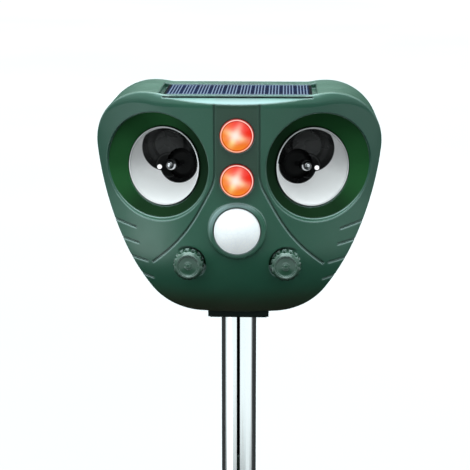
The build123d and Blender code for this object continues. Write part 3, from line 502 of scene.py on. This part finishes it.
# ---------------------------------------------------------------- lamps and dome
def lamp_star(m, u, v):
    """Light of a lamp: a soft four-armed star among red and amber patches."""
    su, sv = m.less(u, STAR_AT[0]), m.less(v, STAR_AT[1])
    away = m.away(su, sv)
    p = m.add(m.mul(su, math.cos(STAR_TURN)), m.mul(sv, math.sin(STAR_TURN)))
    q = m.add(m.mul(su, -math.sin(STAR_TURN)), m.mul(sv, math.cos(STAR_TURN)))
    arms = m.most(*(m.math("EXPONENT", m.mul(across, across, -0.30)) for across in (p, q)))
    arms = m.mul(arms, m.span(away, 2.5, 8.0, 1.0, 0.25))
    core = m.math("EXPONENT", m.mul(away, away, -0.12))
    lower_left = m.span(m.add(m.mul(su, -0.5), m.mul(sv, -0.85)), -5.0, 5.0)
    left = m.span(su, 1.0, -5.0)
    field = m.mix(lower_left, m.mix(left, LAMP_RED, LAMP_ORANGE), LAMP_AMBER)
    ray = m.mix(lower_left, RAY_PINK, RAY_AMBER)
    return m.mix(core, m.mix(arms, field, ray), LAMP_CORE)


def lamp_glass(name):
    """Red lamp, lit, inside a raised rim with a painted highlight, with painted shade in the dark rings
    at its gap and outer edge.
    """
    m = Mat("lamp_glass_" + name, Roughness=0.12, Specular_IOR_Level=0.25)
    centre = box_centre(name)
    u, v = m.front_view(centre.x, centre.z)
    away = m.away(u, v)
    # painted shade in the dark ring at the gap inside the rim
    colour = m.mix(m.mul(m.ring(away, LAMP_GAP_R, 0.16, 0.1), 0.8), lamp_star(m, u, v), LAMP_GAP_SHADE)
    # painted highlight on the raised rim, brightest on its upper right
    shine = m.span(m.add(v, m.mul(u, 0.6)), -8.0, 8.0, 0.6, 1.0)
    colour = m.mix(m.mul(m.ring(away, LAMP_RIM_R, 0.26), shine), colour, LAMP_RIM_HIGHLIGHT)
    # painted shade beyond the rim's outer edge
    colour = m.mix(m.span(away, LAMP_EDGE_R, LAMP_EDGE_R + 0.15), colour, LAMP_EDGE_SHADE)
    m.set(Base_Color=LAMP_UNLIT, Emission_Color=colour, Emission_Strength=0.9)
    m.set(Coat_Weight=0.25, Coat_Roughness=0.05)
    return m.bump(m.noise(900.0, 1.0), 0.01, 0.3)


def dome_white():
    """Milky sensor dome with the faint facets of its lens array, and painted light that makes it glow
    evenly.
    """
    m = Mat("dome_white", Roughness=0.34)
    cells = m.node("ShaderNodeTexVoronoi", Vector=m.coords, Scale=330.0)
    cells.feature = "DISTANCE_TO_EDGE"
    facet = m.span(cells.outputs["Distance"], 0.0, 0.09)
    body = m.mix(m.span(m.noise(120.0, 3.0), 0.35, 0.7), *DOME_HAZE)
    m.set(Base_Color=m.mix(m.math("MULTIPLY_ADD", facet, 0.5, 0.5), DOME_SEAM, body))
    # painted light: the dome glows though it is no lamp
    m.set(Emission_Color=DOME_PAINTED_GLOW, Emission_Strength=0.42)
    m.set(Subsurface_Weight=0.25, Subsurface_Radius=(0.002, 0.002, 0.002), Subsurface_Scale=1.0)
    return m.bump(facet, 0.03, 0.35)


# ---------------------------------------------------------------- solar panel
def panel_face():
    """Cells of a small solar panel under clear resin: fine fingers in fours, bus bars, dark gaps."""
    m = Mat("panel_face", Roughness=0.12, Specular_IOR_Level=0.15)
    low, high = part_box("solar_panel_cover")
    width, depth = (high.x - low.x) / MM, (high.y - low.y) / MM
    px, py, _ = m.where()
    run, back = m.less(px, low.x / MM), m.less(py, low.y / MM)
    margin = (width - CELLS * CELL_PITCH) / 2
    cell = m.mul(m.math("FRACT", m.mul(m.less(run, margin), 1 / CELL_PITCH)), CELL_PITCH)
    fingers = m.most(*(m.ring(cell, place, 0.30, 0.14) for place in FINGERS))
    bars = m.most(m.ring(back, 3.4, 0.75, 0.2), m.ring(back, depth - 3.2, 0.5, 0.2))
    silicon = m.mix(m.span(m.noise(60.0, 2.0), 0.35, 0.65), *SILICON)
    silicon = m.mix(m.ring(cell, 0.0, 0.18, 0.08), silicon, CELL_GAP)
    colour = m.mix(m.most(m.mul(fingers, 0.9), m.mul(bars, 0.85)), silicon, CELL_SILVER)
    inside = m.mul(m.between(run, 1.5, 1.7, width - 1.7, width - 1.5),
                   m.between(back, 1.6, 1.9, depth - 1.9, depth - 1.6))
    return m.set(Base_Color=m.mix(inside, PANEL_EDGE, colour))


# ---------------------------------------------------------------- metals and small parts
def bright_steel():
    """Polished steel tube with faint drawing lines; painted shade keeps the inside and the seam's edges
    dark.
    """
    m = Mat("bright_steel", Metallic=1.0)
    px, py, _ = m.where()
    streaks = m.noise(900.0, 2.0, 0.5, (1, 1, 0.02))
    skin = m.span(m.away(px, py), POLE_SKIN, POLE_SKIN + 0.1)
    # painted shade inside the tube
    m.set(Base_Color=m.mix(skin, STEEL_INSIDE_SHADE, m.mix(m.span(streaks, 0.3, 0.7), *STEEL)))
    m.set(Roughness=m.math("MULTIPLY_ADD", skin, -0.5, m.span(streaks, 0.3, 0.7, 0.6, 0.68)))
    return m.bump(streaks, 0.004, 0.3)


def metal(name, colour, rough):
    """Plated or bare metal with fine wear."""
    m = Mat(name, Metallic=1.0)
    wear = m.noise(600.0, 3.0)
    darker = tuple(0.7 * c for c in colour[:3]) + (1.0,)
    m.set(Base_Color=m.mix(m.span(wear, 0.35, 0.7), darker, colour))
    m.set(Roughness=m.span(wear, 0.3, 0.7, rough, rough + 0.15))
    return m.bump(wear, 0.01, 0.3)


def matt(name, colour, rough, scale=700.0, grain=0.02):
    """Plain moulded or foamed material with a fine grain."""
    m = Mat(name)
    cloud = m.noise(scale, 3.0)
    darker = tuple(0.75 * c for c in colour[:3]) + (1.0,)
    m.set(Base_Color=m.mix(m.span(cloud, 0.3, 0.7), darker, colour))
    m.set(Roughness=m.span(cloud, 0.3, 0.7, rough, rough + 0.12))
    return m.bump(cloud, grain, 0.5)


def circuit_board():
    """Green board with copper tracks under the solder mask."""
    m = Mat("circuit_board", Roughness=0.35)
    bricks = m.node("ShaderNodeTexBrick", Vector=m.coords, Scale=160.0)
    tracks = m.span(bricks.outputs["Fac"], 0.2, 0.8)
    m.set(Base_Color=m.mix(tracks, (0.01, 0.09, 0.03, 1), (0.03, 0.2, 0.07, 1)))
    return m.bump(tracks, 0.03, 0.5)


def cell_wrap():
    """Rechargeable cells: printed sleeve in two plain colours with bare ends."""
    m = Mat("cell_wrap", Roughness=0.3)
    px = m.where()[0]
    ends = m.span(m.size(px), 24.5, 24.7)
    sleeve = m.mix(m.span(px, 9.8, 10.0), (0.02, 0.22, 0.06, 1), (0.75, 0.76, 0.74, 1))
    m.set(Base_Color=m.mix(ends, sleeve, (0.7, 0.7, 0.68, 1)), Metallic=ends)
    return m.bump(m.noise(500.0), 0.01, 0.3)


# Plain materials: colour, roughness and the nodes that they are for
MATTS = {
    "black_rubber": (grey(0.015), 0.7, ("usb_flap", "left_horn_seal", "right_horn_seal",
                                        "sensitivity_knob_seal", "frequency_knob_seal")),
    "slider_black": ((0.03, 0.03, 0.032, 1), 0.45, ("power_slider", "power_switch")),
    "retainer_grey": ((0.25, 0.27, 0.27, 1), 0.5, ("pir_retainer",)),
    "chips": ((0.03, 0.03, 0.035, 1), 0.5, ("board_components",)),
    "wire_red": ((0.45, 0.02, 0.02, 1), 0.4, ("wiring",)),
    "lamp_bulb": ((0.8, 0.75, 0.7, 1), 0.2, ("strobe_leds",)),
}
METALS = {
    "zinc_screw": ((0.62, 0.62, 0.6, 1), 0.3, ("pole_socket_screws", "housing_screws", "board_screws",
                                               "battery_door_screw", "pir_sensor")),
    "contact_nickel": ((0.75, 0.72, 0.66, 1), 0.25, ("battery_contacts", "battery_springs", "usb_port")),
    "shaft_steel": (grey(0.6), 0.25, ("sensitivity_shaft", "frequency_shaft")),
    "pot_can": ((0.5, 0.5, 0.52, 1), 0.35, ("sensitivity_potentiometer", "frequency_potentiometer")),
    "reflector": (grey(0.85), 0.1, ("lower_led_reflector", "upper_led_reflector")),
}


def finish_outside():
    """Materials of the pieces that show."""
    paint(head_green(), "front_housing")
    paint(moulded("cover_green", COVER_GREEN), "rear_cover", "battery_door")
    paint(knob_green(), "sensitivity_knob", "frequency_knob")
    paint(black_plastic(), "pole_socket", "tube_joiner", "ground_spike")
    paint(bright_steel(), "upper_tube", "lower_tube")
    paint(dome_white(), "pir_lens")
    paint(panel_face(), "solar_panel_cover", "solar_cell")
    for name in SIDES:
        paint(horn_silver(name), name + "_horn")
        paint(plug_metal(name), name + "_phase_plug")
    for name in ("lower_led_lens", "upper_led_lens"):
        paint(lamp_glass(name), name)


def finish_small():
    """Materials of the small and inner pieces."""
    for make, table in ((matt, MATTS), (metal, METALS)):
        for name, (colour, rough, nodes) in table.items():
            paint(make(name, colour, rough), *nodes)
    diaphragm = matt("driver_black", grey(0.003), 0.5)
    diaphragm.set(Specular_IOR_Level=0.15)
    paint(diaphragm, "left_driver", "right_driver")
    paint(matt("foam", grey(0.06), 0.9, 900.0, 0.1), "solar_panel_pad", "battery_door_seal")
    paint(circuit_board(), "main_board")
    paint(cell_wrap(), "battery_cells")


# ---------------------------------------------------------------- camera, floor and light
def camera():
    """Camera at the usual viewing angle, a little above the face and a little to its right."""
    back = Vector((math.sin(CAMERA_SIDE) * math.cos(CAMERA_PITCH),
                   -math.cos(CAMERA_SIDE) * math.cos(CAMERA_PITCH), math.sin(CAMERA_PITCH)))
    data = bpy.data.cameras.new("view")
    data.sensor_width = CAMERA_SENSOR
    data.lens = CAMERA_LENS
    data.clip_end = 100.0
    eye = bpy.data.objects.new("view", data)
    eye.location = Vector(CAMERA_TARGET) * MM + back * CAMERA_REACH
    eye.rotation_euler = back.to_track_quat("Z", "Y").to_euler()
    bpy.context.scene.collection.objects.link(eye)
    bpy.context.scene.camera = eye


def floor():
    """Plain pale floor under the spike's tip."""
    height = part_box("ground_spike")[0].z
    corners = [(x * FLOOR_HALF, y * FLOOR_HALF, height) for x, y in ((-1, -1), (1, -1), (1, 1), (-1, 1))]
    mesh = bpy.data.meshes.new("floor")
    mesh.from_pydata(corners, [], [(0, 1, 2, 3)])
    slab = bpy.data.objects.new("floor", mesh)
    bpy.context.scene.collection.objects.link(slab)
    m = Mat("floor_paper", Roughness=0.95, Specular_IOR_Level=0.0)
    mottle = m.span(m.noise(0.8, 3.0), 0.3, 0.7)
    m.set(Base_Color=m.mix(mottle, (0.36, 0.365, 0.37, 1), (0.38, 0.385, 0.39, 1)))
    mesh.materials.append(m.mat)
    slab.visible_diffuse = False
    slab.visible_glossy = False


def sky_light(n, x, y, z):
    """Soft dome above the horizon, strongest overhead and a little stronger on the left."""
    rear = n.span(y, -0.2, 0.2)
    start = n.span(rear, 0.0, 1.0, 0.02, 0.18)
    dome = n.span(n.less(z, start), 0.0, 0.22)
    left = n.span(x, 0.5, -0.7, 0.8, 1.1)
    overhead = n.mul(n.span(z, 0.72, 0.9), 5.0)
    return n.mul(dome, left, n.add(n.math("MULTIPLY_ADD", rear, 0.5, 1.35), overhead))


def low_light(n, x, y, z):
    """Lights below the horizon: a band in front that the pole mirrors, and a panel at each side."""
    band = n.mul(n.between(z, -0.42, -0.34, -0.23, -0.16), n.span(y, 0.25, -0.05), 1.12)
    power = n.span(x, 0.5, -0.5, 0.8, 3.2)
    sides = n.mul(n.span(n.size(x), 0.5, 0.8), n.between(z, -0.64, -0.44, -0.36, -0.24))
    return n.most(band, n.mul(sides, n.span(y, 0.0, -0.3), power))


def side_glow(n, x, z):
    """Strip of light along the horizon at both sides, which the pole mirrors when seen from there."""
    return n.mul(n.between(z, -0.12, -0.04, 0.10, 0.20), n.span(n.size(x), 0.7, 0.85), 0.8)


def studio():
    """Soft light tent around the object, and plain pale paper behind it."""
    world = bpy.data.worlds.new("studio")
    world.use_nodes = True
    bpy.context.scene.world = world
    n = Nodes(world.node_tree)
    x, y, z = n.split(n.node("ShaderNodeTexCoord").outputs["Generated"])
    above = n.most(side_glow(n, x, z), sky_light(n, x, y, z))
    total = n.add(low_light(n, x, y, z), above, 0.04)
    tent = n.node("ShaderNodeBackground", (0.90, 0.99, 1.0, 1), total)
    paper = n.node("ShaderNodeBackground", (0.95, 0.965, 0.975, 1), 1.0)
    seen = n.node("ShaderNodeLightPath").outputs["Is Camera Ray"]
    both = n.node("ShaderNodeMixShader", seen, tent.outputs[0], paper.outputs[0])
    n.put(both.outputs[0], world.node_tree.nodes["World Output"].inputs[0])
    bpy.context.scene.view_settings.view_transform = "Standard"


camera()
floor()
studio()
finish_outside()
finish_small()
